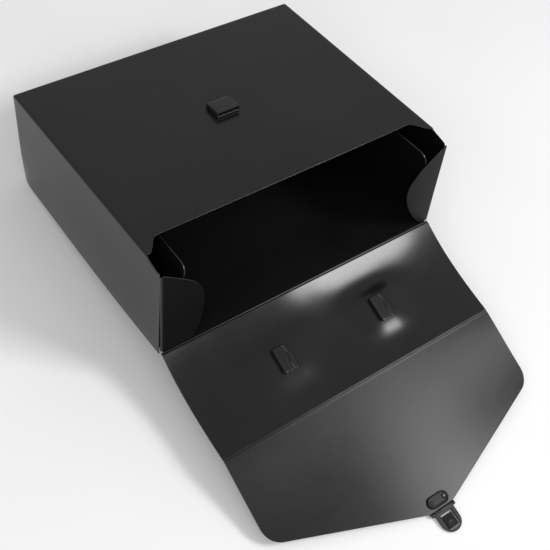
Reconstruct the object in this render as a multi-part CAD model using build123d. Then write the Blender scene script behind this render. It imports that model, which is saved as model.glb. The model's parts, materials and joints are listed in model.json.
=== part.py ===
from build123d import *

import os
from math import asin, cos, degrees, radians, sin

# A document carry case of creased plastic sheet, lying on its back with its mouth open.
# Row frame: +Z up, the floor is Z = 0, +X runs along the mouth, and the closing flap points to -Y.
# The origin is on the floor, under the middle of the whole open case.
# All sizes are in millimetres and degrees.

# ---- driving dimensions: the sheet and the case ------------------------------------------------
sheet = 1.2                  # sheet thickness
case_width = 350.0           # along the mouth, outside
case_length = 290.0          # mouth to bottom panel, outside
case_depth = 119.5           # back panel to front panel, outside
fold_gap = 0.4               # free space between the two panels of a fold

# ---- driving dimensions: the mouth ------------------------------------------------------------
mouth_side_setback = 26.0    # front panel's edge, at the side walls
mouth_recess_setback = 43.0  # front panel's edge, along the middle
mouth_recess_half = 154.0    # half the length of the straight recess
wall_mouth_height = 112.0    # side wall's height at the mouth, lower than the front panel
wall_edge_offset = 1.6       # fold of a dust flap, behind the fold of the spine panel

# ---- driving dimensions: flaps inside the case --------------------------------------------------
dust_flap_width = 48.0
dust_flap_foot = 3.5         # height of its lower edge
inner_flap_height = 110.0    # along the flap, from its fold
inner_flap_lean = 13.5       # towards the middle of the case, from upright
inner_flap_front = 3.5       # its mouth end, behind the fold of the spine panel
inner_flap_corner = 9.0
inner_flap_mitre = 1.7       # its inner face starts this much further from its fold
rear_flange_width = 32.0     # side wall's flange, round the outside of the bottom panel

# ---- driving dimensions: spine panel and closing flap -------------------------------------------
spine_length = 119.5         # fold to fold
flap_length = 146.5          # fold to cut tip
flap_side_length = 87.0      # straight side, up to the slanted edge
flap_tip_half = 16.0         # half the width of the cut tip
flap_corner = 22.0
spine_slope = 10.4           # below level, at rest
flap_slope = 12.2            # below level, at rest

# ---- driving dimensions: carry handle -----------------------------------------------------------
anchor_spacing = 128.0
handle_set_out = 60.0        # centre line of the handle, from the spine panel's fold
anchor_width, anchor_length, anchor_height = 17.0, 26.0, 3.2
grip_width, grip_thickness = 22.0, 11.0
handle_foot_height = 3.0
peg_width, peg_length, peg_reach = 8.0, 14.0, 1.8

# ---- driving dimensions: clasp ------------------------------------------------------------------
mount_width, mount_height = 30.0, 2.6
pin_set_out = 149.0          # hinge pin of the tongue, from the closing flap's fold
pin_rise = 0.2               # pin above the middle of the sheet, towards the flap's inner face
pin_radius = 0.8
pin_clearance = 0.05         # radial, in the tongue
knuckle_radius = 2.2
tongue_width, tongue_length, tongue_height = 24.0, 24.4, 2.6
tongue_droop = 4.4           # below level, at rest
window_width, window_near, window_far = 15.0, 4.2, 19.4
tab_width, tab_height = 12.8, 1.6
tab_gap = 2.0                # between the tab's free end and the tongue's cross bar
backing_width, backing_length, backing_height = 26.0, 13.0, 1.8
clasp_rivet_spacing = 17.0
receiver_front = 151.8       # receiver's open end, behind the fold of the spine panel
receiver_width, receiver_length, receiver_height = 28.0, 23.2, 6.7
slot_width, slot_height, slot_floor = 26.0, 3.6, 1.6

# ---- worked out from them -----------------------------------------------------------------------
half_width = case_width / 2
wall_inside = half_width - sheet
interior_top = case_depth - sheet
wall_middle = half_width - sheet / 2
nose = sheet / 2             # a panel's edge is rounded about the fold it turns on
near_edge = nose + fold_gap  # where the other panel of the fold starts
mount_bottom = sheet / 2 + mount_height
# The clasp mount's outer edge touches the floor, and sets the height of both folds.
crease_height = pin_set_out * sin(radians(flap_slope)) + mount_bottom * cos(radians(flap_slope))
hinge_height = crease_height + spine_length * sin(radians(spine_slope))
case_tilt = degrees(asin((hinge_height - sheet / 2) / case_length))
grip_round = 5.0
grip_low = handle_set_out + grip_width / 2 - grip_round
grip_drop = hinge_height - grip_low * sin(radians(spine_slope)) - grip_round
handle_height = grip_drop / cos(radians(spine_slope)) + grip_round - sheet / 2


def turned(y, z, slope):
    """The y and z of a point after it turns about X by slope degrees."""
    a = radians(slope)
    return y * cos(a) - z * sin(a), y * sin(a) + z * cos(a)


# The middle of the open case's length: the top of the rear edge to the tip of the tongue.
hinge_y = turned(0, sheet / 2, -case_tilt)[0]
crease_y = hinge_y - spine_length * cos(radians(spine_slope))
pin_offset = turned(-pin_set_out, pin_rise, flap_slope)
tongue_tip_y = crease_y + pin_offset[0] - tongue_length * cos(radians(tongue_droop))
rear_top_y = turned(case_length, case_depth, -case_tilt)[0]
shift_y = -(tongue_tip_y + rear_top_y) / 2
lift_z = case_length * sin(radians(case_tilt))

# ---- the four frames that the pieces are drawn in ------------------------------------------------
# case: origin under the mouth fold, y to the bottom panel, z to the front panel
# spine, flap and tongue: origin on their own fold or pin, -y outward, z to the inner face
case_frame = Location((0, shift_y, lift_z), (-case_tilt, 0, 0))
hinge_point = (0, hinge_y + shift_y, hinge_height)
crease_point = (0, crease_y + shift_y, crease_height)
pin_point = (0, crease_point[1] + pin_offset[0], crease_height + pin_offset[1])
spine_frame = Location(hinge_point, (spine_slope, 0, 0))
flap_frame = Location(crease_point, (flap_slope, 0, 0))
tongue_frame = Location(pin_point, (tongue_droop, 0, 0))


# ---- shared shapes -------------------------------------------------------------------------------
side_view = Plane((0, 0, 0), x_dir=(0, 1, 0), z_dir=(1, 0, 0))   # drawn in y and z
end_view = Plane((0, 0, 0), x_dir=(-1, 0, 0), z_dir=(0, 1, 0))   # drawn in -x and z


def block(x0, x1, y0, y1, z0, z1):
    """A box between two opposite corners."""
    return Pos(x0, y0, z0) * Box(x1 - x0, y1 - y0, z1 - z0, align=(Align.MIN,) * 3)


def plate(corners, low, high, plane=Plane.XY):
    """A flat plate from its (x, y, corner radius) outline, low to high along the plane's normal."""
    points = [(x, y) for x, y, _ in corners]
    radii = [radius for _, _, radius in corners]
    face = make_face(FilletPolyline(*points, radius=radii, close=True))
    return plane.offset(low) * extrude(face, high - low)


def rod(start, end, radius):
    """A round rod between two points."""
    path = Vector(*end) - Vector(*start)
    upright = Cylinder(radius, path.length, align=(Align.CENTER, Align.CENTER, Align.MIN))
    return Plane(Vector(*start), z_dir=path) * upright


def x_rod(half_length, y, z, radius):
    """A round rod along X, about the middle plane of the case."""
    return rod((-half_length, y, z), (half_length, y, z), radius)


def mirrored(shape):
    """The same shape on the other side of the case."""
    return mirror(shape, about=Plane.YZ)


def both_sides(shape):
    """The shape and its mirror image, as separate solids of one node."""
    return Compound(children=[shape, mirrored(shape)])


# ---- the case, in the case frame -------------------------------------------------------------------
inner_fold_x = wall_inside - sheet
rivet_radius = 1.5
receiver_rivet_x, receiver_rivet_y = 8.0, receiver_front + receiver_length / 2
receiver_backing_height = 1.6


def back_panel():
    """The panel that the case lies on. Its mouth and side edges are rounded about their folds."""
    rear = case_length
    panel = block(-inner_fold_x, inner_fold_x, 0, rear, 0, sheet)
    panel += x_rod(half_width, 0, sheet / 2, nose)
    for side in (-1, 1):
        panel += rod((side * inner_fold_x, 0, sheet / 2), (side * inner_fold_x, rear, sheet / 2), nose)
    return panel


def front_panel():
    """The upper panel, its mouth edge set back and cut away along the middle."""
    panel = plate(
        [
            (-half_width, case_length, 0),
            (-half_width, mouth_side_setback, 0),
            (-mouth_recess_half, mouth_recess_setback, 3),
            (mouth_recess_half, mouth_recess_setback, 3),
            (half_width, mouth_side_setback, 0),
            (half_width, case_length, 0),
        ],
        interior_top,
        case_depth,
    )
    hole = rod(
        (receiver_rivet_x, receiver_rivet_y, interior_top),
        (receiver_rivet_x, receiver_rivet_y, case_depth),
        rivet_radius,
    )
    return panel - hole - mirrored(hole)


def bottom_panel():
    """The far end of the case, which it stands on when it is carried."""
    panel = block(-wall_inside, wall_inside, case_length - sheet, case_length, sheet, interior_top)
    for hole in rear_rivet_shanks():
        panel -= hole + mirrored(hole)
    return panel


def left_side_wall():
    """A side wall, its upper mouth corner sloping down to the dust flap's fold."""
    wall = plate(
        [
            (wall_edge_offset, 0, 0),
            (case_length, 0, 0),
            (case_length, interior_top, 0),
            (mouth_side_setback + 1, interior_top, 10),
            (wall_edge_offset, wall_mouth_height, 0),
        ],
        -half_width,
        -wall_inside,
        side_view,
    )
    foot = (-wall_middle, wall_edge_offset, 0)
    top = (-wall_middle, wall_edge_offset, wall_mouth_height)
    return wall + rod(foot, top, nose)


rear_rivet_x = half_width - 15
rear_rivet_heights = (42.0, 90.0)
rear_rivet_radius, rear_head_radius, rear_head_height = 1.6, 4.0, 1.0


def rear_rivet_shanks():
    """The left pair of shanks through the rear flange and the bottom panel."""
    inside, outside = case_length - sheet, case_length + sheet
    return [
        rod((-rear_rivet_x, inside, z), (-rear_rivet_x, outside, z), rear_rivet_radius)
        for z in rear_rivet_heights
    ]


def left_rear_flange():
    """The side wall's flange, folded round the outside of the bottom panel."""
    inner_x = half_width - rear_flange_width
    flange = plate(
        [(half_width, 8, 0), (half_width, 112, 0), (inner_x, 106, 10), (inner_x, 14, 10)],
        case_length,
        case_length + sheet,
        end_view,
    )
    for hole in rear_rivet_shanks():
        flange -= hole
    return flange


def rear_flange_rivets():
    """Four flat rivets through the rear flanges and the bottom panel."""
    inside, outside = case_length - sheet, case_length + sheet
    solids = []
    for z, shank in zip(rear_rivet_heights, rear_rivet_shanks()):
        heads = rod((-rear_rivet_x, outside, z), (-rear_rivet_x, outside + rear_head_height, z),
                    rear_head_radius)
        heads += rod((-rear_rivet_x, inside - rear_head_height, z), (-rear_rivet_x, inside, z),
                     rear_head_radius)
        rivet = shank + heads
        solids += [rivet, mirrored(rivet)]
    return Compound(children=solids)


def left_inner_flap():
    """The back panel's side flap, standing inside the side wall and leaning inward."""
    lean = radians(inner_flap_lean)
    foot, rear = (-inner_fold_x, 0, sheet / 2), case_length - 7
    leaning = Plane(foot, x_dir=(0, 1, 0), z_dir=(cos(lean), 0, -sin(lean)))
    flap = plate(
        [
            (inner_flap_front, near_edge, 0),
            (rear, near_edge, 0),
            (rear, inner_flap_height, inner_flap_corner),
            (inner_flap_front, inner_flap_height, inner_flap_corner),
        ],
        -nose,
        nose,
        leaning,
    )
    # Its lower edge is mitred, which leaves it room to fold inward over the back panel.
    across = Plane(foot, x_dir=(sin(lean), 0, cos(lean)), z_dir=(0, 1, 0))
    wedge = Polyline((near_edge, -nose), (near_edge, nose), (near_edge + inner_flap_mitre, nose), close=True)
    return flap - across * extrude(make_face(wedge), case_length)


def left_dust_flap():
    """The side wall's flap, folded across the mouth: straight at its fold, bowed at its free edge."""
    top, widest_height, foot_reach = wall_mouth_height - 1, 53.0, 34.0
    start, foot = (near_edge, top), (foot_reach, dust_flap_foot)
    widest = (dust_flap_width, widest_height)
    outline = ThreePointArc(start, (26.5, 93.0), widest)
    outline += ThreePointArc(widest, (45.0, 29.0), foot)
    outline += Polyline(foot, (near_edge, dust_flap_foot), start)
    flap = extrude(make_face(outline), sheet)
    from_fold = Plane(
        (-wall_middle, wall_edge_offset + sheet / 2, 0), x_dir=(1, 0, 0), z_dir=(0, -1, 0)
    )
    return from_fold * flap


# ---- the receiving half of the clasp, in the case frame -----------------------------------------------
def receiver_housing():
    """A low box on the front panel, with a wide slot for the tongue in its mouth side."""
    rear, top = receiver_front + receiver_length, case_depth + receiver_height
    half, wall = receiver_width / 2, (receiver_width - slot_width) / 2
    housing = plate(
        [(-half, receiver_front, 0), (half, receiver_front, 0), (half, rear, 4), (-half, rear, 4)],
        case_depth,
        top,
    )
    upper_edges = housing.faces().sort_by(Axis.Z)[-1].edges()
    housing = fillet(upper_edges, 0.6)
    slot_bottom = case_depth + slot_floor
    slot = block(-slot_width / 2, slot_width / 2, receiver_front, rear - wall,
                 slot_bottom, slot_bottom + slot_height)
    catch_y = pin_set_out + 9.0
    catch = block(-5, 5, catch_y - 1.5, catch_y + 1.5, slot_bottom, slot_bottom + slot_height + 0.8)
    housing -= slot + catch
    rivets = receiver_rivets()
    return housing - rivets.solids()[0] - rivets.solids()[1]


def receiver_backing_plate():
    """The plate inside the front panel that the receiver is riveted to."""
    y0, y1 = receiver_rivet_y - 8, receiver_rivet_y + 8
    low = interior_top - receiver_backing_height
    plate_solid = plate([(-15, y0, 5), (15, y0, 5), (15, y1, 5), (-15, y1, 5)], low, interior_top)
    hole = rod((receiver_rivet_x, receiver_rivet_y, low), (receiver_rivet_x, receiver_rivet_y, interior_top),
               rivet_radius)
    return plate_solid - hole - mirrored(hole)


def receiver_rivets():
    """Two rivets, their heads sunk flush in the floor of the slot."""
    x, y = receiver_rivet_x, receiver_rivet_y
    low, high = interior_top - receiver_backing_height, case_depth + slot_floor
    rivet = rod((x, y, low), (x, y, high), rivet_radius)
    rivet += rod((x, y, high - 0.8), (x, y, high), 2.4)
    rivet += rod((x, y, low - 0.6), (x, y, low), 2.6)
    return both_sides(rivet)


# ---- the spine panel and the carry handle, in the spine frame -------------------------------------------
def spine_panel():
    """The panel that is the top of the closed case, with a slot for each end of the handle."""
    panel = block(-half_width, half_width, -spine_length, -near_edge, -sheet / 2, sheet / 2)
    panel += x_rod(half_width, -spine_length, 0, nose)
    slot = left_peg(-sheet / 2, sheet / 2)
    return panel - slot - mirrored(slot)


def left_peg(low, high):
    """The left end of the handle, where it goes through the spine panel."""
    x0, y0 = -(anchor_spacing + peg_width) / 2, -handle_set_out - peg_length / 2
    return block(x0, x0 + peg_width, y0, y0 + peg_length, low, high)


def carry_handle():
    """A bow handle on the outer face, held by a peg at each end."""
    outer_face = -sheet / 2
    grip_middle = outer_face - handle_height + grip_thickness / 2
    arm_x = anchor_spacing / 2
    start = (-arm_x, -handle_set_out, outer_face - 1)
    corner = (-arm_x, -handle_set_out, grip_middle)
    path = FilletPolyline(
        start, corner, (arm_x, corner[1], corner[2]), (arm_x, start[1], start[2]), radius=24
    )
    section = Plane(start, x_dir=(1, 0, 0), z_dir=(0, 0, -1)) * RectangleRounded(
        grip_thickness, grip_width, grip_round
    )
    handle = sweep(section, path)
    half_x, half_y = anchor_width / 2, anchor_length / 2
    x0, x1 = -arm_x - half_x, -arm_x + half_x
    y0, y1 = -handle_set_out - half_y, -handle_set_out + half_y
    foot = plate(
        [(x0, y0, 4), (x1, y0, 4), (x1, y1, 4), (x0, y1, 4)],
        outer_face - handle_foot_height,
        outer_face,
    )
    end = foot + left_peg(outer_face, sheet / 2 + peg_reach)
    return handle + end + mirrored(end)


def left_handle_anchor():
    """The clip on the inner face that holds the handle's peg, with a groove along its back."""
    x, y = -anchor_spacing / 2, -handle_set_out
    half_x, half_y = anchor_width / 2, anchor_length / 2
    low, high = sheet / 2, sheet / 2 + anchor_height
    clip = plate(
        [(x - half_x, y - half_y, 4), (x + half_x, y - half_y, 4), (x + half_x, y + half_y, 4),
         (x - half_x, y + half_y, 4)],
        low,
        high,
    )
    groove_radius, groove_depth = 3.0, 0.8
    groove_z = high + groove_radius - groove_depth
    groove = rod((x, y - half_y, groove_z), (x, y + half_y, groove_z), groove_radius)
    return clip - groove - left_peg(low, low + peg_reach)


# ---- the closing flap and its half of the clasp, in the flap frame --------------------------------------
clasp_rivet_y = -(flap_length - 8)


def clasp_shank(low, high, radius=rivet_radius):
    """The left rivet of the clasp, or a hole for it."""
    x = -clasp_rivet_spacing / 2
    return rod((x, clasp_rivet_y, low), (x, clasp_rivet_y, high), radius)


def closing_flap():
    """The panel that closes over the front, with slanted edges to a short cut tip."""
    panel = plate(
        [
            (-half_width, -near_edge, 0),
            (half_width, -near_edge, 0),
            (half_width, -flap_side_length, flap_corner),
            (flap_tip_half, -flap_length, 2),
            (-flap_tip_half, -flap_length, 2),
            (-half_width, -flap_side_length, flap_corner),
        ],
        -sheet / 2,
        sheet / 2,
    )
    hole = clasp_shank(-sheet / 2, sheet / 2)
    return panel - hole - mirrored(hole)


def clasp_mount():
    """The block on the outer face, with a knuckle for the hinge pin at each end."""
    half = mount_width / 2
    outer_face, low = -sheet / 2, -mount_bottom
    mount = block(-half, half, -flap_length, -flap_length + 13, low, outer_face)
    knuckle_inside = tongue_width / 2 + 0.3
    arm = block(-half, -knuckle_inside, -pin_set_out, -flap_length, low, outer_face)
    arm += rod((-half, -pin_set_out, pin_rise), (-knuckle_inside, -pin_set_out, pin_rise),
               knuckle_radius)
    mount += arm + mirrored(arm)
    mount -= x_rod(half, -pin_set_out, pin_rise, pin_radius)
    hole = clasp_shank(low + 0.6, outer_face)
    return mount - hole - mirrored(hole)


def clasp_backing_plate():
    """The oval plate on the inner face that the clasp is riveted to."""
    low, high = sheet / 2, sheet / 2 + backing_height
    oval = extrude(SlotOverall(backing_width, backing_length), high - low)
    hole = clasp_shank(low, high)
    return Pos(0, clasp_rivet_y, low) * oval - hole - mirrored(hole)


def clasp_rivets():
    """Two rivets from the clasp mount through the sheet to the backing plate."""
    high = sheet / 2 + backing_height
    rivet = clasp_shank(-mount_bottom + 0.6, high) + clasp_shank(high, high + 0.5, 2.6)
    return both_sides(rivet)


def clasp_pin():
    """The steel pin that the tongue turns on."""
    return x_rod(mount_width / 2 - 0.2, -pin_set_out, pin_rise, pin_radius)


# ---- the tongue and its spring tab, in the tongue frame -------------------------------------------------
tab_root_y = -(window_far - fold_gap - tab_height / 2)
tab_middle_z = -(tongue_height - tab_height) / 2


def clasp_tongue():
    """The tongue that goes into the receiver, with a window for the spring tab."""
    half, thick = tongue_width / 2, tongue_height / 2
    tongue = plate(
        [(-half, 0, 0), (half, 0, 0), (half, -tongue_length, 11.5), (-half, -tongue_length, 11.5)],
        -thick,
        thick,
    )
    tongue += x_rod(half, 0, 0, 1.9)
    tongue -= x_rod(half, 0, 0, pin_radius + pin_clearance)
    return tongue - block(-window_width / 2, window_width / 2, -window_far, -window_near, -thick, thick)


def snap_tab():
    """The spring tab in the tongue's window, rounded at its root, with a catch on its outer face."""
    half, outer = tab_width / 2, -tongue_height / 2
    free_end = -(window_near + tab_gap)
    tab = block(-half, half, tab_root_y, free_end, outer, outer + tab_height)
    tab += x_rod(half, tab_root_y, tab_middle_z, tab_height / 2)
    return tab + x_rod(4.5, -9.0, outer, 0.9)


# ---- every piece in its place -----------------------------------------------------------------------
case_pieces = {
    "back_panel": back_panel(),
    "front_panel": front_panel(),
    "bottom_panel": bottom_panel(),
    "rear_flange_rivets": rear_flange_rivets(),
    "receiver_housing": receiver_housing(),
    "receiver_backing_plate": receiver_backing_plate(),
    "receiver_rivets": receiver_rivets(),
}
left_case_pieces = {
    "side_wall": left_side_wall(),
    "rear_flange": left_rear_flange(),
    "inner_flap": left_inner_flap(),
    "dust_flap": left_dust_flap(),
}
spine_pieces = {"spine_panel": spine_panel(), "carry_handle": carry_handle()}
flap_pieces = {
    "closing_flap": closing_flap(),
    "clasp_mount": clasp_mount(),
    "clasp_backing_plate": clasp_backing_plate(),
    "clasp_rivets": clasp_rivets(),
    "clasp_pin": clasp_pin(),
}
tongue_pieces = {"clasp_tongue": clasp_tongue(), "snap_tab": snap_tab()}

for name, shape in left_case_pieces.items():
    case_pieces["left_" + name] = shape
    case_pieces["right_" + name] = mirrored(shape)
spine_pieces["left_handle_anchor"] = left_handle_anchor()
spine_pieces["right_handle_anchor"] = mirrored(left_handle_anchor())

os.makedirs("parts", exist_ok=True)
groups = [
    (case_frame, case_pieces),
    (spine_frame, spine_pieces),
    (flap_frame, flap_pieces),
    (tongue_frame, tongue_pieces),
]
for frame, pieces in groups:
    for name, shape in pieces.items():
        export_step(frame * shape, "parts/" + name + ".step")
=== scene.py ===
import json
from math import atan2, cos, exp, hypot, pi, radians, sin, sqrt

import bmesh
import bpy
from mathutils import Matrix, Vector


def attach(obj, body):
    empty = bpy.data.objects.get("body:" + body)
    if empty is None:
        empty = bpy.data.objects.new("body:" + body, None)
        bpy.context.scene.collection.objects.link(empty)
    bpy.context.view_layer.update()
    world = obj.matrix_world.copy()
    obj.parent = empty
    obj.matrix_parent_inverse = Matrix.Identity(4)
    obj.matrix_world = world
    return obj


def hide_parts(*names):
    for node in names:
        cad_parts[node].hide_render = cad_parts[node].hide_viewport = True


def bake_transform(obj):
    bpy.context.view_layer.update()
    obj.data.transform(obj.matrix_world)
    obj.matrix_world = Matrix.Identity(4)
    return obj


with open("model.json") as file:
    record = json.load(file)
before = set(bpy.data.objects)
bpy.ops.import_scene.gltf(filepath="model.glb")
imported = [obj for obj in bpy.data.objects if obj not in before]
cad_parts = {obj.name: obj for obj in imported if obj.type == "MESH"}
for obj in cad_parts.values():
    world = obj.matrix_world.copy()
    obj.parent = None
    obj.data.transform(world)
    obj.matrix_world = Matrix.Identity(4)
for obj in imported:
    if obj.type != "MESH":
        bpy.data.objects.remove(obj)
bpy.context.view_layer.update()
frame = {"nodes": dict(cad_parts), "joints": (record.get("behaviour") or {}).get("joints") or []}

# A document case of creased plastic sheet, open and lying on its back.
# Shapes are drawn in millimetres in four frames: case, spine, flap and tongue.
# case: y runs from the mouth to the bottom panel, z from the back panel to the front panel.
# spine, flap, tongue: origin on their own fold or pin, -y outward, z to the inner face.

# ---- sizes, in millimetres -----------------------------------------------------------------------
SHEET = 1.2
HALF_WIDTH = 175.0
LENGTH = 290.0
DEPTH = 119.5
WALL_X = HALF_WIDTH - SHEET / 2          # middle of a side wall's sheet
FRONT_Z = DEPTH - SHEET / 2              # middle of the front panel's sheet
BOTTOM_Y = LENGTH - SHEET / 2            # middle of the bottom panel's sheet
FOLD_RADIUS = 2.0
WEB_HALF = 1.6                           # a crease's web reaches this far each side of its fold
INNER_WEB = 2.5                          # the same, for the inner flaps
INNER_FOLD_X = 172.6
MOUTH_SIDE, MOUTH_RECESS, RECESS_HALF = 26.0, 43.0, 154.0
WALL_MOUTH_HEIGHT = 112.0
DUST_FOLD_Y = 1.6
SPINE_LENGTH = 119.5
FLAP_LENGTH, FLAP_SIDE, FLAP_TIP_HALF, FLAP_CORNER = 146.5, 87.0, 16.0, 22.0
ANCHOR_X, ANCHOR_Y = 64.0, -60.0
PIN_OUT, PIN_RISE = 149.0, 0.2
TAB_ROOT_Y, TAB_ROOT_Z = -18.2, -0.5
RECEIVER_FRONT, RECEIVER_LENGTH, RECEIVER_WIDTH, RECEIVER_HEIGHT = 151.8, 23.2, 28.0, 6.7

# ---- frames, from the record's joints ------------------------------------------------------------
joints = {j["name"]: j for j in frame["joints"]}
MM = 0.001


def joint_point(name):
    return Vector(joints[name]["pos_m"])


def frame_at(origin, y_axis):
    """Millimetres in a frame with X along the mouth to metres in the row frame."""
    x, y = Vector((1, 0, 0)), y_axis.normalized()
    place = Matrix((x, y, x.cross(y))).transposed().to_4x4() @ Matrix.Scale(MM, 4)
    place.translation = origin
    return place


def turned_frame(origin, point, local_y, local_z):
    """The frame in which point, seen from origin, has these local y and z."""
    away = point - origin
    turn = atan2(away.z, away.y) - atan2(local_z, local_y)
    return frame_at(origin, Vector((0, cos(turn), sin(turn))))


hinge, crease = joint_point("spine_fold"), joint_point("flap_fold")
pin, tab_root = joint_point("tongue_hinge"), joint_point("snap_tab_flex")
case_up = Vector(joints["left_dust_flap_fold"]["axis"])
case_back = -Vector(joints["left_inner_flap_fold"]["axis"])
CASE = frame_at(hinge - case_up * SHEET / 2 * MM, case_back)
SPINE = frame_at(hinge, hinge - crease)
FLAP = turned_frame(crease, pin, -PIN_OUT, PIN_RISE)
TONGUE = turned_frame(pin, tab_root, TAB_ROOT_Y, TAB_ROOT_Z)
INNER_LEAN = {-1: radians(13.5), 1: radians(13.0)}


# ---- small helpers -------------------------------------------------------------------------------
def lerp(a, b, t):
    return a + (b - a) * t


def smooth(t):
    t = max(0.0, min(1.0, t))
    return t * t * (3 - 2 * t)


def spread(a, b, count, edge=0.0):
    """count + 1 values from a to b; with edge, one more value this far inside each end."""
    values = [lerp(a, b, i / count) for i in range(count + 1)]
    if edge:
        step = edge if b > a else -edge
        values = [a, a + step] + values[1:-1] + [b - step, b]
    return values


def arc(centre, radius, start, end, count):
    """Points of a flat arc, angles in degrees."""
    angles = [radians(a) for a in spread(start, end, count)]
    return [(centre[0] + radius * cos(a), centre[1] + radius * sin(a)) for a in angles]


# ---- sheet pieces --------------------------------------------------------------------------------
RIM_ROUND = 0.25
RIM_STEP = 0.6                           # a grid's first and last step, beside its cut edges


class Sheet:
    """The middle surface of a sheet, drawn as grids of points that share their edges."""

    def __init__(self):
        self.mid = bmesh.new()

    def grid(self, lines, flip=False):
        rows = [[self.mid.verts.new(p) for p in line] for line in lines]
        for a, b in zip(rows, rows[1:]):
            for i in range(len(a) - 1):
                corners = [a[i], a[i + 1], b[i + 1], b[i]]
                self.mid.faces.new(corners[::-1] if flip else corners)

    def thicken(self, thickness=SHEET):
        """The closed sheet: two skins and a rounded cut edge, which takes the second material."""
        mid = self.mid
        bmesh.ops.remove_doubles(mid, verts=mid.verts, dist=0.03)
        bmesh.ops.recalc_face_normals(mid, faces=mid.faces)
        mid.normal_update()
        mid.verts.index_update()
        mid.verts.ensure_lookup_table()
        half = thickness / 2
        out = bmesh.new()
        skins = {}
        for side in (1, -1):
            skins[side] = [out.verts.new(v.co + v.normal * half * side) for v in mid.verts]
        for face in mid.faces:
            order = [v.index for v in face.verts]
            out.faces.new([skins[1][i] for i in order]).smooth = True
            out.faces.new([skins[-1][i] for i in reversed(order)]).smooth = True
        after, outward = {}, {}
        for face in mid.faces:
            for loop in face.loops:
                if loop.edge.is_boundary:
                    a, b = loop.vert, loop.link_loop_next.vert
                    after[a.index] = b.index
                    away = (b.co - a.co).cross((a.normal + b.normal) / 2).normalized()
                    for v in (a, b):
                        outward.setdefault(v.index, []).append(away)
        rims = {}
        steps = [radians(d) for d in (30, 60, 90)]
        for i, ways in outward.items():
            v = mid.verts[i]
            total = sum(ways, Vector())
            way = total.normalized() / max(0.6, total.length / len(ways))
            top = [v.co + v.normal * (half - RIM_ROUND * (1 - cos(s))) + way * RIM_ROUND * sin(s)
                   for s in steps]
            low = [v.co - v.normal * (half - RIM_ROUND * (1 - cos(s))) + way * RIM_ROUND * sin(s)
                   for s in reversed(steps)]
            rims[i] = [skins[1][i]] + [out.verts.new(p) for p in top + low] + [skins[-1][i]]
        for i, j in after.items():
            a, b = rims[i], rims[j]
            for k in range(len(a) - 1):
                face = out.faces.new([a[k], a[k + 1], b[k + 1], b[k]])
                face.smooth = True
                face.material_index = 1
            for skin in (skins[1], skins[-1]):
                out.edges.get((skin[i], skin[j])).smooth = False
        bmesh.ops.recalc_face_normals(out, faces=out.faces)
        mid.free()
        return out


def make_object(name, bm, place, materials):
    """The finished object, in metres in the row frame."""
    bm.transform(place)
    mesh = bpy.data.meshes.new(name)
    bm.to_mesh(mesh)
    bm.free()
    for material in materials:
        mesh.materials.append(material)
    obj = bpy.data.objects.new(name, mesh)
    bpy.context.scene.collection.objects.link(obj)
    return obj


def sheet_piece(name, sheet, place, body, replaces=(), material=None):
    obj = make_object(name, sheet.thicken(), place, [material or sheet_material, edge_material])
    if replaces:
        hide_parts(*replaces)
    if body:
        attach(obj, body)
    return obj


# ---- lofted and moulded pieces -------------------------------------------------------------------
def loft(bm, rings, closed=False):
    """Quads between rings of equally many points. Open lofts get flat caps."""
    made = [[bm.verts.new(p) for p in ring] for ring in rings]
    pairs = list(zip(made, made[1:])) + ([(made[-1], made[0])] if closed else [])
    count = len(made[0])
    for a, b in pairs:
        for i in range(count):
            j = (i + 1) % count
            bm.faces.new([a[i], a[j], b[j], b[i]]).smooth = True
    if not closed:
        bm.faces.new(made[0][::-1])
        bm.faces.new(made[-1])
    return made


def finish_solid(bm, sharp=38):
    """Outward normals, and sharp edges where the surface turns by more than this angle."""
    bmesh.ops.recalc_face_normals(bm, faces=bm.faces)
    bm.normal_update()
    for edge in bm.edges:
        if len(edge.link_faces) == 2 and edge.calc_face_angle(0.0) > radians(sharp):
            edge.smooth = False
    return bm


def rounded_box_outline(half_x, half_y, radius, count=6):
    """A rectangle with rounded corners, anticlockwise, about the origin."""
    points = []
    for cx, cy, start in ((1, 1, 0), (-1, 1, 90), (-1, -1, 180), (1, -1, 270)):
        centre = (cx * (half_x - radius), cy * (half_y - radius))
        points += arc(centre, radius, start, start + 90, count)
    return points


def inset(points, distance):
    """The closed outline moved inward by distance; the outline runs anticlockwise."""
    out = []
    count = len(points)
    for i, (x, y) in enumerate(points):
        px, py = points[i - 1]
        nx, ny = points[(i + 1) % count]
        ax, ay, bx, by = x - px, y - py, nx - x, ny - y
        la, lb = hypot(ax, ay) or 1e-9, hypot(bx, by) or 1e-9
        wx, wy = -(ay / la + by / lb), ax / la + bx / lb
        length = hypot(wx, wy) or 1e-9
        scale = distance / max(0.5, length / 2) / length
        out.append((x + wx * scale, y + wy * scale))
    return out


def cross_bar(bm, ys, ends, low, top, rounding=0.6, columns=18):
    """A long pad, built from cross-sections along y.
    ends(y) gives its two x edges and how far its upper edge is lowered; top(x, y) its height."""
    turns = [radians(a) for a in (90, 67.5, 45, 22.5)]
    rim = [(rounding * (1 - sin(a)), rounding * cos(a)) for a in turns]
    rings = []
    for y in ys:
        x0, x1, drop = ends(y)
        across = [(x0 + back, lowered) for back, lowered in rim]
        across += [(x, 0.0) for x in spread(x0 + rounding, x1 - rounding, columns)]
        across += [(x1 - back, lowered) for back, lowered in reversed(rim)]
        ring = [(x, y, top(x, y) - drop - lowered) for x, lowered in across]
        rings.append([(x0, y, low)] + ring + [(x1, y, low)])
    loft(bm, rings)


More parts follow.
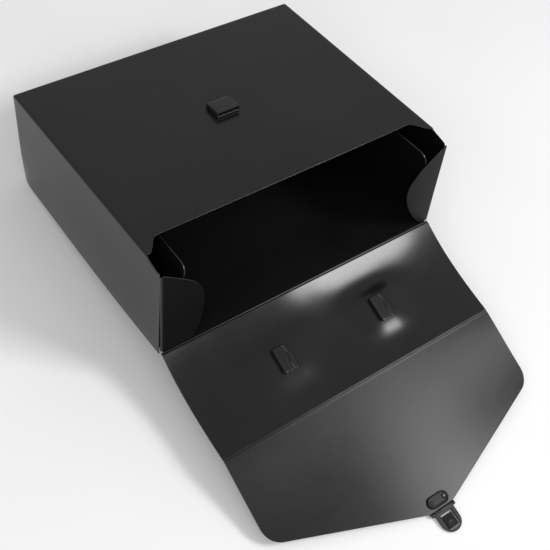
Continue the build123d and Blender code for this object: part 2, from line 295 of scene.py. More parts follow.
def x_rod(bm, x0, x1, radius, y, z, bore=0.0, edge=0.3, count=28):
    """A rod along x with rounded ends, or with a bore, a tube."""
    profile = [(x0, radius - edge), (x0 + edge / 3, radius - edge / 3), (x0 + edge, radius)]
    profile += [(x0 + x1 - x, r) for x, r in reversed(profile)]
    if bore:
        profile += [(x1, bore), (x0, bore)]
    turns = [2 * pi * i / count for i in range(count)]
    loft(bm, [[(x, y + r * cos(a), z + r * sin(a)) for a in turns] for x, r in profile], closed=bool(bore))


def ray_to(outline, centre, angle):
    """Where a ray from the centre leaves a closed outline."""
    dx, dy = cos(angle), sin(angle)
    best = 0.0
    for i, (x1, y1) in enumerate(outline):
        x0, y0 = outline[i - 1]
        ex, ey = x1 - x0, y1 - y0
        turn = dx * ey - dy * ex
        if abs(turn) < 1e-12:
            continue
        px, py = x0 - centre[0], y0 - centre[1]
        along, across = (px * ey - py * ex) / turn, (px * dy - py * dx) / turn
        if along > 0 and -1e-9 <= across <= 1 + 1e-9:
            best = max(best, along)
    return centre[0] + dx * best, centre[1] + dy * best


def lathe(bm, profile, centre, axis=(0, 0, 1), count=28):
    """A turned piece: profile is (radius, height) pairs along the axis."""
    axis = Vector(axis).normalized()
    side = axis.orthogonal().normalized()
    other = axis.cross(side)
    rings = []
    for radius, height in profile:
        ring = []
        for i in range(count):
            a = 2 * pi * i / count
            ring.append(Vector(centre) + axis * height + (side * cos(a) + other * sin(a)) * radius)
        rings.append(ring)
    loft(bm, rings)


def from_cad(name, body, width, material, segments=2, angle=35):
    """A CAD node's own shape with its sharp edges rounded by width, in millimetres."""
    bm = bmesh.new()
    bm.from_mesh(frame["nodes"][name].data)
    bmesh.ops.remove_doubles(bm, verts=bm.verts, dist=1e-6)
    bmesh.ops.dissolve_limit(bm, angle_limit=radians(1.0), verts=bm.verts, edges=bm.edges)
    edges = [e for e in bm.edges
             if len(e.link_faces) == 2 and e.calc_face_angle(0.0) > radians(angle)]
    bmesh.ops.bevel(bm, geom=edges, offset=width * MM, segments=segments, affect="EDGES",
                    profile=0.5, clamp_overlap=True)
    bmesh.ops.triangulate(bm, faces=[f for f in bm.faces if len(f.verts) > 4])
    for face in bm.faces:
        face.smooth = True
    finish_solid(bm, 30)
    obj = make_object(name + "_moulding", bm, Matrix.Identity(4), [material])
    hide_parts(name)
    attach(obj, body)
    return obj


def solid_piece(name, bm, place, body, material, replaces=(), sharp=38):
    obj = make_object(name, finish_solid(bm, sharp), place, [material])
    if replaces:
        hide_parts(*replaces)
    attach(obj, body)
    return obj


# ---- materials -----------------------------------------------------------------------------------
def node_material(name):
    material = bpy.data.materials.new(name)
    material.use_nodes = True
    tree = material.node_tree
    return material, tree, tree.nodes["Principled BSDF"]


def noise(tree, coords, scale, detail=2.0, roughness=0.5):
    node = tree.nodes.new("ShaderNodeTexNoise")
    for key, number in (("Scale", scale), ("Detail", detail), ("Roughness", roughness)):
        node.inputs[key].default_value = number
    tree.links.new(coords, node.inputs["Vector"])
    return node.outputs["Fac"]


def ranged(tree, value, low, high, start=0.3, end=0.7):
    """value, from start to end, taken to low to high."""
    node = tree.nodes.new("ShaderNodeMapRange")
    for key, number in (("From Min", start), ("From Max", end), ("To Min", low), ("To Max", high)):
        node.inputs[key].default_value = number
    tree.links.new(value, node.inputs["Value"])
    return node.outputs["Result"]


def maths(tree, operation, a, b):
    node = tree.nodes.new("ShaderNodeMath")
    node.operation = operation
    for socket, value in zip(node.inputs, (a, b)):
        if isinstance(value, (int, float)):
            socket.default_value = value
        else:
            tree.links.new(value, socket)
    return node.outputs[0]


def mixed(tree, factor, a, b):
    """Two colours, or a colour and an output, mixed by factor."""
    node = tree.nodes.new("ShaderNodeMix")
    node.data_type = "RGBA"
    tree.links.new(factor, node.inputs["Factor"])
    for socket, value in ((node.inputs[6], a), (node.inputs[7], b)):
        if isinstance(value, tuple):
            socket.default_value = (*value, 1.0)
        else:
            tree.links.new(value, socket)
    return node.outputs[2]


def bumped(tree, height, strength, distance, normal=None):
    node = tree.nodes.new("ShaderNodeBump")
    node.inputs["Strength"].default_value = strength
    node.inputs["Distance"].default_value = distance
    tree.links.new(height, node.inputs["Height"])
    if normal is not None:
        tree.links.new(normal, node.inputs["Normal"])
    return node.outputs["Normal"]


def stretched(tree, coords, scale):
    node = tree.nodes.new("ShaderNodeMapping")
    node.inputs["Scale"].default_value = scale
    tree.links.new(coords, node.inputs["Vector"])
    return node.outputs["Vector"]


def plastic(name, tones, roughness, grain_scale, grain_height, ripple=0.0, ior=1.49):
    """Black plastic: mottled colour, uneven gloss, a fine moulded or rolled grain, faint scuffs."""
    material, tree, shader = node_material(name)
    coords = tree.nodes.new("ShaderNodeTexCoord").outputs["Object"]
    cloudy = noise(tree, coords, 9.0, 3.0)
    speckle = noise(tree, coords, grain_scale * 0.8, 1.0)
    tone = maths(tree, "ADD", maths(tree, "MULTIPLY", cloudy, 0.6), maths(tree, "MULTIPLY", speckle, 0.4))
    colour = mixed(tree, ranged(tree, tone, 0, 1, 0.38, 0.62), *tones)
    tree.links.new(colour, shader.inputs["Base Color"])
    scuff = noise(tree, stretched(tree, coords, (6, 40, 25)), 6.0, 3.0, 0.55)
    gloss = maths(tree, "ADD", maths(tree, "MULTIPLY", cloudy, 0.55), maths(tree, "MULTIPLY", scuff, 0.45))
    tree.links.new(ranged(tree, gloss, *roughness, 0.35, 0.65), shader.inputs["Roughness"])
    normal = None
    if ripple:
        normal = bumped(tree, noise(tree, coords, 16.0, 1.0), 1.0, ripple)
    grain = noise(tree, coords, grain_scale, 2.0, 0.6)
    normal = bumped(tree, grain, 1.0, grain_height, normal)
    tree.links.new(normal, shader.inputs["Normal"])
    shader.inputs["IOR"].default_value = ior
    return material


SHEET_TONES = ((0.0052, 0.0052, 0.0054), (0.0085, 0.0085, 0.0088))
# Cut edges: lighter than the sheet's faces, partly the cut face's own lighter tone and partly a painted highlight
# along the edges.
EDGE_TONES_WITH_PAINTED_HIGHLIGHT = ((0.012, 0.012, 0.0124), (0.022, 0.022, 0.0225))
MOULDED_TONES = ((0.006, 0.006, 0.006), (0.010, 0.010, 0.0099))
CLASP_TONES = ((0.024, 0.0225, 0.0215), (0.04, 0.037, 0.035))
OVAL_TONES = ((0.005, 0.005, 0.005), (0.01, 0.01, 0.01))
RIVET_TONES = ((0.01, 0.01, 0.01), (0.018, 0.018, 0.018))
STEEL_TONES = ((0.42, 0.42, 0.43), (0.55, 0.55, 0.56))

sheet_material = plastic("creased_sheet", SHEET_TONES, (0.205, 0.235), 1100, 0.000002, 0.00006, 1.42)
matt_material = plastic("creased_sheet_matt", SHEET_TONES, (0.34, 0.42), 1100, 0.0000025, 0.00008, 1.16)
edge_material = plastic("cut_edge_and_painted_highlight", EDGE_TONES_WITH_PAINTED_HIGHLIGHT, (0.22, 0.34), 1400, 0.000003)
moulded_material = plastic("moulded_plastic", MOULDED_TONES, (0.24, 0.32), 1500, 0.000003, ior=1.42)
clasp_material = plastic("clasp_plastic", CLASP_TONES, (0.26, 0.36), 1500, 0.000003, ior=1.38)
oval_material = plastic("clasp_dark", OVAL_TONES, (0.34, 0.44), 1500, 0.000003, ior=1.27)
rivet_material = plastic("black_rivets", RIVET_TONES, (0.2, 0.3), 2200, 0.000003)
steel_material = plastic("steel_pin", STEEL_TONES, (0.22, 0.34), 2600, 0.000002)
steel_material.node_tree.nodes["Principled BSDF"].inputs["Metallic"].default_value = 1.0


# ---- how the sheet is bent out of flat -----------------------------------------------------------
def case_warp(x, y, z):
    """The open case isn't quite square: its side walls bow between their stiff ends."""
    side = -1 if x < 0 else 1
    near_wall = smooth((abs(x) - 120) / 55)
    low = 1 - smooth(z / 105)
    along = y / LENGTH
    bow = lerp(1.8, 0.6, smooth((along - 0.25) / 0.6)) + 1.2 * sin(pi * along)
    bow -= 1.6 * smooth((along - 0.95) / 0.05) * low ** 4
    dx = side * near_wall * low * bow
    middle = max(0.0, 1 - (x / 170) ** 2)
    dz = -0.9 * middle * sin(pi * along) * (1 if z > 60 else -0.3)
    return Vector((x + dx, y, z + dz))


# (x, depth of the spine panel's sag there)
SPINE_DEPTHS = ((-175, 6.8), (-135, 4.2), (-95, 3.0), (-50, 3.4), (0, 6.4), (40, 8.0), (105, 8.0), (175, 4.9))


def eased(points, x):
    """A smooth curve through (x, value) pairs, by cosine steps."""
    for (x0, y0), (x1, y1) in zip(points, points[1:]):
        if x <= x1:
            return lerp(y0, y1, smooth((x - x0) / (x1 - x0)))
    return points[-1][1]


def spine_height(x, y):
    """The spine panel sags between its folds, except where the handle's two feet hold it up."""
    v = max(0.0, min(1.0, (-y - WEB_HALF) / (SPINE_LENGTH - 2 * WEB_HALF)))
    sag = eased(SPINE_DEPTHS, x) * 4 * v * (1 - v) * (1 + 0.22 * (1 - 2 * v))
    out_x, out_y = max(0.0, abs(abs(x) - ANCHOR_X) - 6), max(0.0, abs(y - ANCHOR_Y) - 11)
    held = exp(-(out_x / 30) ** 2 - (out_y / (13 if y > ANCHOR_Y else 24)) ** 2)
    return -sag * (1 - held)


def flap_height(x, y):
    """The closing flap sags a little along its length, and its corners droop beside its clasp."""
    out = (-y - WEB_HALF) / (FLAP_LENGTH - WEB_HALF)
    sag = (1.4 + 1.0 * smooth(-x / HALF_WIDTH)) * 4 * out * (1 - out)
    return -sag - 2.8 * smooth(out / 0.6) * (x / HALF_WIDTH) ** 2 * (1 - 0.2 * out)


# ---- the case's own sheet: front, bottom, back, side walls and rear flanges -----------------------
def mouth_y(x):
    """The front panel's mouth edge: set back at the sides, cut away along the middle."""
    return lerp(MOUTH_RECESS, MOUTH_SIDE, smooth((abs(x) - RECESS_HALF) / (HALF_WIDTH - RECESS_HALF - 3)))


def wall_mouth_y(z):
    """The side wall's mouth edge, sloping back above the dust flap."""
    rise = smooth((z - WALL_MOUTH_HEIGHT + 1.5) / (FRONT_Z - WALL_MOUTH_HEIGHT)) if z < FRONT_Z else 1.0
    return lerp(DUST_FOLD_Y + WEB_HALF, MOUTH_SIDE, rise)


def case_sheet():
    sheet = Sheet()
    side_x = WALL_X - FOLD_RADIUS
    fold_y, fold_z = BOTTOM_Y - FOLD_RADIUS, FRONT_Z - FOLD_RADIUS
    back_z = SHEET / 2
    xs = spread(-side_x, -RECESS_HALF + 6, 14)[:-1] + spread(-RECESS_HALF + 6, RECESS_HALF - 6, 36)
    xs += spread(RECESS_HALF - 6, side_x, 14)[1:]

    def strip_path(x):
        """Front panel, bottom panel and back panel, as (x, y, z), for one line along the case."""
        start = mouth_y(x)
        path = [(x, y, FRONT_Z) for y in spread(start, fold_y, 30, RIM_STEP)]
        path += [(x, y, z) for y, z in arc((fold_y, fold_z), FOLD_RADIUS, 90, 0, 5)[1:]]
        path += [(x, BOTTOM_Y, z) for z in spread(fold_z, back_z + FOLD_RADIUS, 12)[1:]]
        path += [(x, y, z) for y, z in arc((fold_y, back_z + FOLD_RADIUS), FOLD_RADIUS, 0, -90, 5)[1:]]
        back_scale = (INNER_FOLD_X - INNER_WEB) / side_x
        for y in spread(fold_y, WEB_HALF, 30, RIM_STEP)[1:]:
            narrow = smooth((fold_y - y) / 6)
            path.append((x * lerp(1, back_scale, narrow), y, back_z))
        return [case_warp(*p) for p in path]

    sheet.grid([strip_path(x) for x in xs])
    for side in (-1, 1):
        section = [(side * (side_x + FOLD_RADIUS * sin(radians(a))), fold_z + FOLD_RADIUS * cos(radians(a)))
                   for a in spread(0, 90, 5)]
        heights = spread(fold_z, 112, 3)[1:] + spread(112, 96, 4)[1:] + spread(96, 24, 14)[1:]
        heights += spread(24, 8.4, 5)[1:] + [5.4, 2.6, 0.6]
        section += [(side * WALL_X, z) for z in heights]
        lines = []
        for x, z in section:
            start = MOUTH_SIDE if z >= FRONT_Z - 0.01 else wall_mouth_y(z)
            lines.append([case_warp(x, y, z) for y in spread(start, fold_y, 30, RIM_STEP)])
        sheet.grid(lines)
        flange = []
        flange_y = LENGTH + SHEET / 2
        for z in [fold_z] + [h for h in heights if h > 2]:
            reach = flange_reach(z)
            line = [(side * WALL_X, fold_y, z)]
            line += [(side * (side_x + FOLD_RADIUS * cos(radians(a))),
                      flange_y - FOLD_RADIUS + FOLD_RADIUS * sin(radians(a)), z) for a in spread(0, 90, 5)]
            line += [(side * x, flange_y, z) for x in spread(side_x, side_x - reach, 8, RIM_STEP)[1:]]
            flange.append([case_warp(*p) for p in line])
        sheet.grid(flange)
    return sheet


def flange_reach(z):
    """How far a rear flange reaches across the bottom panel at this height."""
    full, slope, round_start = 29.0, 5.3, 3.6
    end = min(z - 7.6, 112.6 - z)
    reach = end * slope
    if end > round_start:
        reach = lerp(min(reach, full * 0.72), full, smooth((end - round_start) / 9))
    return max(3.2, min(full, reach))


# ---- creases -------------------------------------------------------------------------------------
def crease_web(name, body_a, body_b, place, start, end, way_a, way_b, groove_up, stations=40, reach=WEB_HALF,
               groove=0.36):
    """The creased web between two panels: full thickness at its ends, pressed thin on one side.
    way_a and way_b run from the fold into the two panels; groove_up points out of the grooved side."""
    start, end = Vector(start), Vector(end)
    way_a, way_b, up = Vector(way_a), Vector(way_b), Vector(groove_up)
    axis = (end - start).normalized()
    half, samples = SHEET / 2, 16
    centre, normals = [], []
    for i in range(samples + 1):
        t = i / samples
        point = way_a * reach * (1 - t) ** 2 + way_b * reach * t ** 2
        tangent = way_b * t - way_a * (1 - t)
        normal = axis.cross(tangent.normalized())
        if normal.dot(up) < 0:
            normal = -normal
        centre.append(point)
        normals.append(normal.normalized())
    upper, lower = [], []
    for i, (point, normal) in enumerate(zip(centre, normals)):
        s = (i / samples - 0.5) * 2 * reach
        pressed = groove * exp(-(s / 0.55) ** 2) - 0.08 * exp(-((abs(s) - 1.05) / 0.3) ** 2)
        upper.append(point + normal * (half - pressed))
        lower.append(point - normal * (half - 0.08 * exp(-(s / 0.5) ** 2)))
    ring = upper + lower[::-1]
    bm = bmesh.new()
    rings = []
    for k in range(stations + 1):
        at = lerp(start, end, k / stations)
        rings.append([at + p for p in ring])
    loft(bm, rings)
    for face in bm.faces:
        face.smooth = True
    obj = make_object(name, finish_solid(bm, 50), place, [sheet_material])
    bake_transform(obj)
    return obj


# ---- flaps inside the case -----------------------------------------------------------------------
def inner_flap(side):
    """Stands along the side wall and leans in, its top edge a little wavy."""
    sheet = Sheet()
    inner_lean = INNER_LEAN[side]
    rear, front, height, corner = LENGTH - 7, 3.5, 110.0, 9.0
    ys = [front + corner * (1 - cos(radians(a))) for a in spread(12, 90, 7)]
    ys = [front] + ys + spread(ys[-1], rear - corner, 36)[1:]
    ys += [rear - corner * (1 - sin(radians(a))) for a in spread(0, 78, 7)][1:] + [rear]
    lines = []
    for y in ys:
        end = min(y - front, rear - y)
        top = height
        if end < corner:
            top = height - corner + sqrt(max(0.0, corner ** 2 - (corner - end) ** 2))
        line = []
        for h in spread(INNER_WEB, top, 22, RIM_STEP):
            t = h / height
            start = smooth((h - INNER_WEB) / 12)
            bow = start * (1.2 * sin(pi * t) * (0.6 + 0.4 * cos(2 * pi * (y - front) / 300))
                           + 1.2 * t * t * sin(pi * y / LENGTH))
            x = -INNER_FOLD_X + h * sin(inner_lean) + bow * cos(inner_lean)
            z = SHEET / 2 + h * cos(inner_lean) - bow * sin(inner_lean)
            line.append(Vector((side * -x, y, z)))
        lines.append(line)
    sheet.grid(lines)
    word = "left" if side < 0 else "right"
    sheet_piece(word + "_inner_flap_sheet", sheet, CASE, word + "_inner_flap", [word + "_inner_flap"])
    crease_web(word + "_inner_flap_crease", "case", word + "_inner_flap", CASE,
               (side * INNER_FOLD_X, 4.0, SHEET / 2), (side * INNER_FOLD_X, rear, SHEET / 2),
               (-side, 0, 0), (side * -sin(inner_lean), 0, cos(inner_lean)), (-side, 0, 1), 60, INNER_WEB)


DUST_EDGES = {
    -1: [(3.5, 34.0), (10, 38.5), (20, 43.2), (29, 45.6), (41, 47.5), (53, 48.0), (65, 46.6), (76, 42.6),
         (85, 36.6), (93, 28.0), (99, 20.5), (104, 13.6), (108, 8.4), (111, 3.8)],
    1: [(3.5, 8.5), (9, 15.5), (18, 23.4), (30, 31.6), (42, 37.6), (52, 41.2), (62, 42.6), (71, 41.6),
        (79, 38.2), (87, 33.0), (94, 26.4), (100, 19.4), (105, 12.4), (108, 8.4), (111, 3.8)],
}


def dust_width(side, z):
    """Width of a dust flap at this height: its bowed free edge, from its foot to its top."""
    points = DUST_EDGES[side]
    for i in range(1, len(points)):
        if z <= points[i][0] or i == len(points) - 1:
            (z0, w0), (z1, w1) = points[i - 1], points[i]
            before = points[max(0, i - 2)]
            after = points[min(len(points) - 1, i + 1)]
            t = (z - z0) / (z1 - z0)
            slope0 = (w1 - before[1]) / (z1 - before[0]) * (z1 - z0)
            slope1 = (after[1] - w0) / (after[0] - z0) * (z1 - z0)
            return (w0 * (1 + 2 * t) * (1 - t) ** 2 + w1 * t * t * (3 - 2 * t)
                    + slope0 * t * (1 - t) ** 2 - slope1 * t * t * (1 - t))


def dust_flap(side):
    """Folded across the mouth, curling a little inward at its free edge."""
    sheet = Sheet()
    lines = []
    for z in spread(3.5, 111.0, 46, RIM_STEP):
        width = dust_width(side, z)
        line = []
        for w in spread(WEB_HALF, max(width, WEB_HALF + 1.6), 14, 0.4):
            curl = 1.2 * (w / 48) ** 2 * sin(pi * (z - 3) / 112) - 0.6 * sin(pi * w / 48)
            line.append(Vector((side * (WALL_X - w), DUST_FOLD_Y + curl, z)))
        lines.append(line)
    sheet.grid(lines)
    word = "left" if side < 0 else "right"
    body = word + "_dust_flap"
    sheet_piece(body + "_sheet", sheet, CASE, body, [body], matt_material)
    crease_web(body + "_crease", "case", body, CASE,
               (side * WALL_X, DUST_FOLD_Y, 3.5), (side * WALL_X, DUST_FOLD_Y, 111.0),
               (0, 1, 0), (-side, 0, 0), (-side, 1, 0), 40)


# ---- spine panel and closing flap ------------------------------------------------------------------
def spine_panel():
    sheet = Sheet()
    xs = spread(-HALF_WIDTH + 0.2, HALF_WIDTH - 0.2, 96, RIM_STEP)
    ys = spread(-WEB_HALF, -SPINE_LENGTH + WEB_HALF, 36, RIM_STEP)
    lines = [[Vector((x, y, spine_height(x, y))) for y in ys] for x in xs]
    sheet.grid(lines)
    sheet_piece("spine_sheet", sheet, SPINE, "spine", ["spine_panel"])


def flap_outline():
    """The closing flap's outer edge as (x, distance out) from its left side to its tip's middle."""
    x0, y0 = -HALF_WIDTH + 0.2, FLAP_SIDE
    x1, y1 = -FLAP_TIP_HALF, FLAP_LENGTH
    slant = atan2(y1 - y0, x1 - x0)
    turn = pi / 2 - slant
    cut = FLAP_CORNER * sin(turn / 2) / cos(turn / 2)
    centre = (x0 + FLAP_CORNER, y0 - cut)
    points = []
    for i in range(11):
        a = pi - turn * i / 10
        points.append((centre[0] + FLAP_CORNER * cos(a), centre[1] + FLAP_CORNER * sin(a)))
    points[0] = (x0, y0 - cut)
    last = points[-1]
    straight_end = (x1 - 3, y1 - 3 * (y1 - y0) / (x1 - x0))
    points += [(lerp(last[0], straight_end[0], t), lerp(last[1], straight_end[1], t)) for t in spread(0, 1, 34)[1:]]
    points += [(x1 - 1.2, y1 - 0.62), (x1 + 0.6, y1 - 0.12), (x1 + 2.4, y1)]
    points += [(x, y1) for x in spread(x1 + 2.4, 0, 5)[1:]]
    return points


def closing_flap():
    sheet = Sheet()
    half = flap_outline()
    outline = half + [(-x, y) for x, y in reversed(half[:-1])]
    lines = []
    for x, reach in outline:
        lines.append([Vector((x, y, flap_height(x, y))) for y in spread(-WEB_HALF, -reach, 44, 0.5)])
    sheet.grid(lines)
    sheet_piece("closing_flap_sheet", sheet, FLAP, "flap", ["closing_flap"])


sheet_piece("case_sheet", case_sheet(), CASE, "case",
            ["front_panel", "bottom_panel", "back_panel", "left_side_wall", "right_side_wall",
             "left_rear_flange", "right_rear_flange"])
for side in (-1, 1):
    inner_flap(side)
    dust_flap(side)
spine_panel()
closing_flap()

to_spine = SPINE.to_3x3() @ Vector((0, -1, 0))
to_flap = FLAP.to_3x3() @ Vector((0, -1, 0))
from_case = CASE.to_3x3() @ Vector((0, 1, 0))
WORLD_MM = Matrix.Scale(MM, 4)
reach_x = HALF_WIDTH - 0.2


def across_case(point):
    """The two ends of a crease that runs across the case through this point, in millimetres."""
    return (-reach_x, point.y / MM, point.z / MM), (reach_x, point.y / MM, point.z / MM)


crease_web("mouth_crease", "case", "spine", WORLD_MM, *across_case(hinge),
           from_case.normalized(), to_spine.normalized(), (0, 0, 1), 80)
crease_web("flap_crease", "spine", "flap", WORLD_MM, *across_case(crease),
           -to_spine.normalized(), to_flap.normalized(), (0, 0, 1), 80)


# ---- the receiver on the front panel -----------------------------------------------------------------
def receiver():
    """A wedge-shaped moulding, hollow at its mouth side, with two sunk rivet heads in its floor."""
    bm = bmesh.new()
    middle, floor_z = RECEIVER_WIDTH / 2, DEPTH + 1.6

    def section(y, half, low, high, radius):
        corners = arc((half - radius, high - radius), radius, 0, 90, 6)
        corners += arc((-half + radius, high - radius), radius, 90, 180, 6)
        return [(-half, y, low), (half, y, low)] + [(x, y, z) for x, z in corners]

    rear = RECEIVER_FRONT + RECEIVER_LENGTH
    rings = []
    for t in (1.0, 0.985, 0.95, 0.9, 0.84, 0.78, 0.6, 0.4, 0.2, 0.06, 0.02):
        end = max(0.0, (t - 0.78) / 0.22)
        height = lerp(RECEIVER_HEIGHT, 4.9, t) - 2.6 * (1 - sqrt(1 - end ** 2)) + 0.25 * exp(-(t / 0.06) ** 2)
        half = middle - 1.4 * (1 - sqrt(1 - end ** 2)) - 0.3 * t
        rings.append(section(lerp(RECEIVER_FRONT, rear, t), half, DEPTH, DEPTH + height, 0.9))
    lip = DEPTH + RECEIVER_HEIGHT
    rings.append(section(RECEIVER_FRONT, middle - 0.25, DEPTH + 0.1, lip, 0.8))
    rings.append(section(RECEIVER_FRONT, 13.2, floor_z - 0.25, lip - 1.25, 0.7))
    rings.append(section(RECEIVER_FRONT + 0.3, 13.0, floor_z, lip - 1.5, 0.5))
    for y in (1.5, 3.0, 4.4, 5.4, 8.2, 9.2, 12.0, 16.0, 19.0, 21.6):
        catch_room = 0.75 * smooth((y - 3.0) / 1.4) * smooth((9.2 - y) / 1.0)
        roof = lerp(lip - 1.5, floor_z + 2.85, y / RECEIVER_LENGTH) + catch_room
        rings.append(section(RECEIVER_FRONT + y, 13.0, floor_z, roof, 0.5))
    loft(bm, rings)
    for x in (-8.5, 8.5):
        lathe(bm, [(2.4, 0.0), (2.4, 0.12), (2.0, 0.3), (1.0, 0.4), (0.3, 0.42)], (x, RECEIVER_FRONT + 10, floor_z))
    solid_piece("receiver_moulding", bm, CASE, "case", moulded_material, ["receiver_housing"])


# ---- the handle's two anchors, inside the spine panel --------------------------------------------------
def anchor(name, middle_x):
    """A pad with a crooked groove along its back and a step in its right side."""
    bm = bmesh.new()
    half_y, round_y, base = 14.2, 3.2, SHEET / 2
    y_top, y_low = ANCHOR_Y + half_y - 0.6, ANCHOR_Y - half_y - 0.6

    def ends(y):
        end = min(y_top - y, y - y_low)
        cut = round_y - sqrt(max(0.0, round_y ** 2 - (round_y - min(end, round_y)) ** 2))
        step = 1.7 * smooth((y - ANCHOR_Y - 2.0) / 2.2)
        low_edge = 0.9 * (1 - sqrt(max(0.0, 1 - max(0.0, 1 - end / 1.1) ** 2)))
        return middle_x - 10.6 + cut * 0.8, middle_x + 8.2 - step - cut, low_edge

    def top(x, y):
        across, along = x - middle_x, (y - ANCHOR_Y) / half_y
        bend = 1.3 * sin(pi * (along + 0.15)) - 0.7 * along
        groove = 1.05 * exp(-((across - 1.4 - bend) / 0.95) ** 2)
        ridge = 0.5 * exp(-((across + 2.2 - bend) / 2.6) ** 2)
        second = 0.35 * exp(-((across - 5.2 - 0.6 * bend) / 1.2) ** 2)
        return base + 3.9 + ridge + second - groove - 0.45 * smooth((across - 2) / 6)

    ys = [y_top - e for e in (0.0, 0.15, 0.4, 0.8, 1.3, 2.0, 2.8, 3.6)] + spread(y_top - 5, y_low + 5, 22)
    ys += [y_low + e for e in (3.6, 2.8, 2.0, 1.3, 0.8, 0.4, 0.15, 0.0)]
    cross_bar(bm, ys, ends, base, top, 0.5, 30)
    solid_piece(name + "_moulding", bm, SPINE, "spine", moulded_material, [name])


# ---- the clasp on the closing flap --------------------------------------------------------------------
CLASP_Y, CLASP_RIVET_X = -138.5, 8.5


def slot_outline(length, width, count=12):
    radius = width / 2
    return (arc((length / 2 - radius, 0), radius, -90, 90, count)
            + arc((radius - length / 2, 0), radius, 90, 270, count))


def clasp_oval():
    """The oval backing plate: a raised rim about a lower floor."""
    bm = bmesh.new()
    outline, base, high = slot_outline(26.0, 13.0), SHEET / 2, SHEET / 2 + 1.8
    rings = []
    for back, z in ((0, base), (0, high - 0.6), (0.15, high - 0.25), (0.55, high), (1.1, high), (1.5, high - 0.2),
                    (1.75, high - 0.7), (2.3, high - 0.8), (4.2, high - 0.75)):
        rings.append([(x, y + CLASP_Y, z) for x, y in inset(outline, back)])
    loft(bm, rings)
    solid_piece("clasp_oval_moulding", bm, FLAP, "flap", oval_material,
                ["clasp_backing_plate"])


def clasp_rivet_pair():
    """Left, a peg low in its dimple; right, a rolled tubular head. Both run through to the mount."""
    bm = bmesh.new()
    floor_z, low = SHEET / 2 + 1.0, -3.0
    lathe(bm, [(1.4, low - floor_z), (1.4, 0.0), (1.5, 0.0), (2.5, 0.02), (2.75, 0.3), (2.5, 0.5), (1.9, 0.35),
               (1.5, 0.1), (0.9, 0.25), (0.3, 0.4)], (-CLASP_RIVET_X, CLASP_Y, floor_z))
    lathe(bm, [(1.4, low - floor_z), (1.4, 0.0), (2.6, 0.05), (2.95, 0.5), (2.75, 1.1), (2.2, 1.35), (1.7, 1.2),
               (1.3, 0.7), (1.2, 0.2), (0.4, 0.15)], (CLASP_RIVET_X, CLASP_Y, floor_z))
    solid_piece("clasp_rivet_heads", bm, FLAP, "flap", rivet_material, ["clasp_rivets"])


def tongue():
    """A round-ended tongue with a window for its spring tab, thinner towards its tip."""
    bm = bmesh.new()
    half, length, end_radius = 12.0, 24.4, 11.5
    outer = [(-half, -1.2)] + arc((end_radius - half, -length + end_radius), end_radius, 180, 270, 16)
    outer += arc((half - end_radius, -length + end_radius), end_radius, 270, 360, 16) + [(half, -1.2)]
    window = [(x, y - 11.8) for x, y in rounded_box_outline(7.5, 7.6, 0.8, 4)]
    centre = (0.0, -11.8)
    wanted = [atan2(y - centre[1], x - centre[0]) for x, y in outer + window]
    angles = []
    for a in sorted(wanted):
        if not angles or a - angles[-1] > 0.012:
            angles.append(a)

    def thick(y):
        return lerp(1.3, 0.85, smooth((-y - 8) / 16))

    rings = []
    for angle in angles:
        (ox, oy), (wx, wy) = ray_to(outer, centre, angle), ray_to(window, centre, angle)
        width = hypot(ox - wx, oy - wy)

        def at(out, z, ox=ox, oy=oy, wx=wx, wy=wy, width=width):
            """out is measured from the outer edge, or if negative from the window's edge."""
            t = out / width if out >= 0 else 1 + out / width
            x, y = lerp(ox, wx, t), lerp(oy, wy, t)
            return x, y, z * thick(y)

        rings.append([at(0.3, -1.0), at(0.06, -0.85), at(0.0, -0.5), at(0.0, 0.35), at(0.08, 0.75), at(0.35, 0.97),
                      at(0.8, 1.0), at(1.15, 0.96), at(1.4, 0.8), at(1.7, 0.78), at(-1.15, 0.78), at(-0.9, 0.84),
                      at(-0.6, 1.0), at(-0.3, 0.97), at(-0.05, 0.8), at(-0.001, 0.5), at(-0.001, -0.8),
                      at(-0.2, -1.0)])
    loft(bm, rings, closed=True)
    x_rod(bm, -half, half, 1.9, 0.0, 0.0, bore=0.86)
    solid_piece("clasp_tongue_moulding", bm, TONGUE, "tongue", clasp_material, ["clasp_tongue"])


def spring_tab():
    """The tab in the window, with a soft arched swelling and a catch below."""
    bm = bmesh.new()
    left_x, right_x, free_end = -6.8, 5.9, -6.2

    def ends(y):
        end = max(0.0, 1 - (free_end - y) / 1.0)
        return left_x + 0.5 * end ** 2, right_x - 0.5 * end ** 2, 0.45 * (1 - sqrt(max(0.0, 1 - end ** 2)))

    def top(x, y):
        arch = hypot(x, (y + 17.5) * 0.75)
        return 0.3 + 0.22 * exp(-((arch - 4.4) / 1.3) ** 2) - 0.05 * exp(-((arch - 2.0) / 1.2) ** 2)

    ys = [free_end - e for e in (0.0, 0.1, 0.3, 0.6, 1.0)] + spread(free_end - 1.6, TAB_ROOT_Y, 20)
    cross_bar(bm, ys, ends, -1.3, top, 0.35, 24)
    x_rod(bm, -4.5, 4.5, 0.9, -9.0, -1.3)
    x_rod(bm, left_x, right_x, 0.8, TAB_ROOT_Y, TAB_ROOT_Z)
    solid_piece("snap_tab_moulding", bm, TONGUE, "tab", oval_material, ["snap_tab"])


receiver()
anchor("left_handle_anchor", -ANCHOR_X)
anchor("right_handle_anchor", ANCHOR_X)
clasp_oval()
clasp_rivet_pair()
tongue()
spring_tab()
for node, body, width in (("receiver_backing_plate", "case", 0.3), ("clasp_mount", "flap", 0.3),
                          ("carry_handle", "spine", 0.4)):
    from_cad(node, body, width, moulded_material)
for node in ("rear_flange_rivets", "receiver_rivets"):
    from_cad(node, "case", 0.3, rivet_material, 3)
pin_obj = frame["nodes"]["clasp_pin"]
pin_obj.data.materials.clear()
pin_obj.data.materials.append(steel_material)

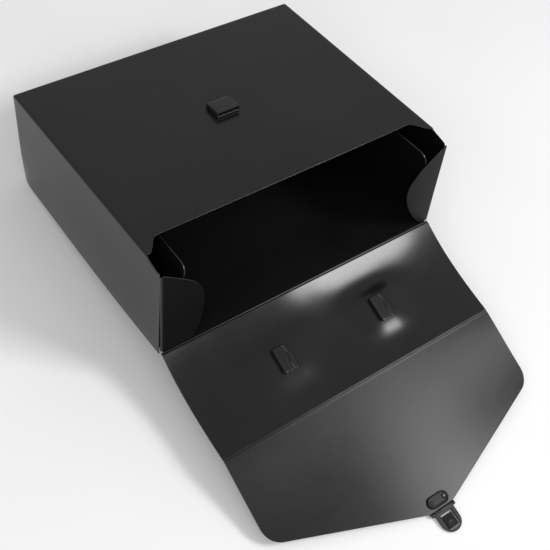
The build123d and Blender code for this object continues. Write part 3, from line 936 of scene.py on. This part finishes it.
# ---- floor, light and camera -----------------------------------------------------------------------
scene = bpy.context.scene
CAMERA_AT = (-0.47346903, -0.34272037, 0.89851587)
CAMERA_FORWARD = (0.44237933, 0.34904204, -0.82611753)
CAMERA_ROLL, CAMERA_LENS, CAMERA_SENSOR = -20.229, 63.667, 36.0
FLOOR_HALF, FLOOR_CELLS = 3.0, 12


def floor():
    bm = bmesh.new()
    steps = spread(-FLOOR_HALF, FLOOR_HALF, FLOOR_CELLS)
    rows = [[bm.verts.new((x, y, 0)) for y in steps] for x in steps]
    for a, b in zip(rows, rows[1:]):
        for i in range(FLOOR_CELLS):
            bm.faces.new([a[i], b[i], b[i + 1], a[i + 1]])
    material, tree, shader = node_material("pale_floor")
    coords = tree.nodes.new("ShaderNodeTexCoord").outputs["Object"]
    colour = mixed(tree, ranged(tree, noise(tree, coords, 3.0, 2.0), 0, 1), (0.86, 0.86, 0.86), (0.9, 0.9, 0.9))
    tree.links.new(colour, shader.inputs["Base Color"])
    shader.inputs["Roughness"].default_value = 0.7
    obj = make_object("floor", bm, Matrix.Identity(4), [material])


def area_light(name, direction, distance, size, power, target=(0, 0, 0.06)):
    """A soft box, seen from the target in this direction."""
    data = bpy.data.lights.new(name, "AREA")
    data.shape = "RECTANGLE"
    data.size, data.size_y = size
    data.energy = power
    obj = bpy.data.objects.new(name, data)
    way = Vector(direction).normalized()
    obj.location = Vector(target) + way * distance
    obj.rotation_mode = "QUATERNION"
    obj.rotation_quaternion = way.to_track_quat("Z", "Y")
    scene.collection.objects.link(obj)


def camera():
    data = bpy.data.cameras.new("camera")
    data.sensor_width = CAMERA_SENSOR
    data.lens = CAMERA_LENS
    data.clip_start, data.clip_end = 0.02, 50
    obj = bpy.data.objects.new("camera", data)
    forward = Vector(CAMERA_FORWARD).normalized()
    roll = radians(CAMERA_ROLL)
    level = forward.cross(Vector((0, 0, 1))).normalized()
    right = level * cos(roll) + forward.cross(level) * sin(roll)
    up = right.cross(forward)
    obj.matrix_world = Matrix((right, up, -forward)).transposed().to_4x4()
    obj.location = Vector(CAMERA_AT)
    scene.collection.objects.link(obj)
    scene.camera = obj


floor()
area_light("key", (0.60, -0.50, 1.045), 1.31, (0.22, 0.22), 0.4, target=(0, 0, 0))
area_light("glint", (0.507, -0.475, 0.7195), 3.0, (0.8, 0.8), 43, target=(0, 0, 0))
area_light("fill", (-0.55, -0.45, 0.75), 2.4, (1.6, 1.6), 17)
camera()
world = bpy.data.worlds.new("studio")
world.use_nodes = True
world.node_tree.nodes["Background"].inputs["Color"].default_value = (1, 1, 1, 1)
world.node_tree.nodes["Background"].inputs["Strength"].default_value = 0.52
scene.world = world
scene.view_settings.view_transform = "Standard"
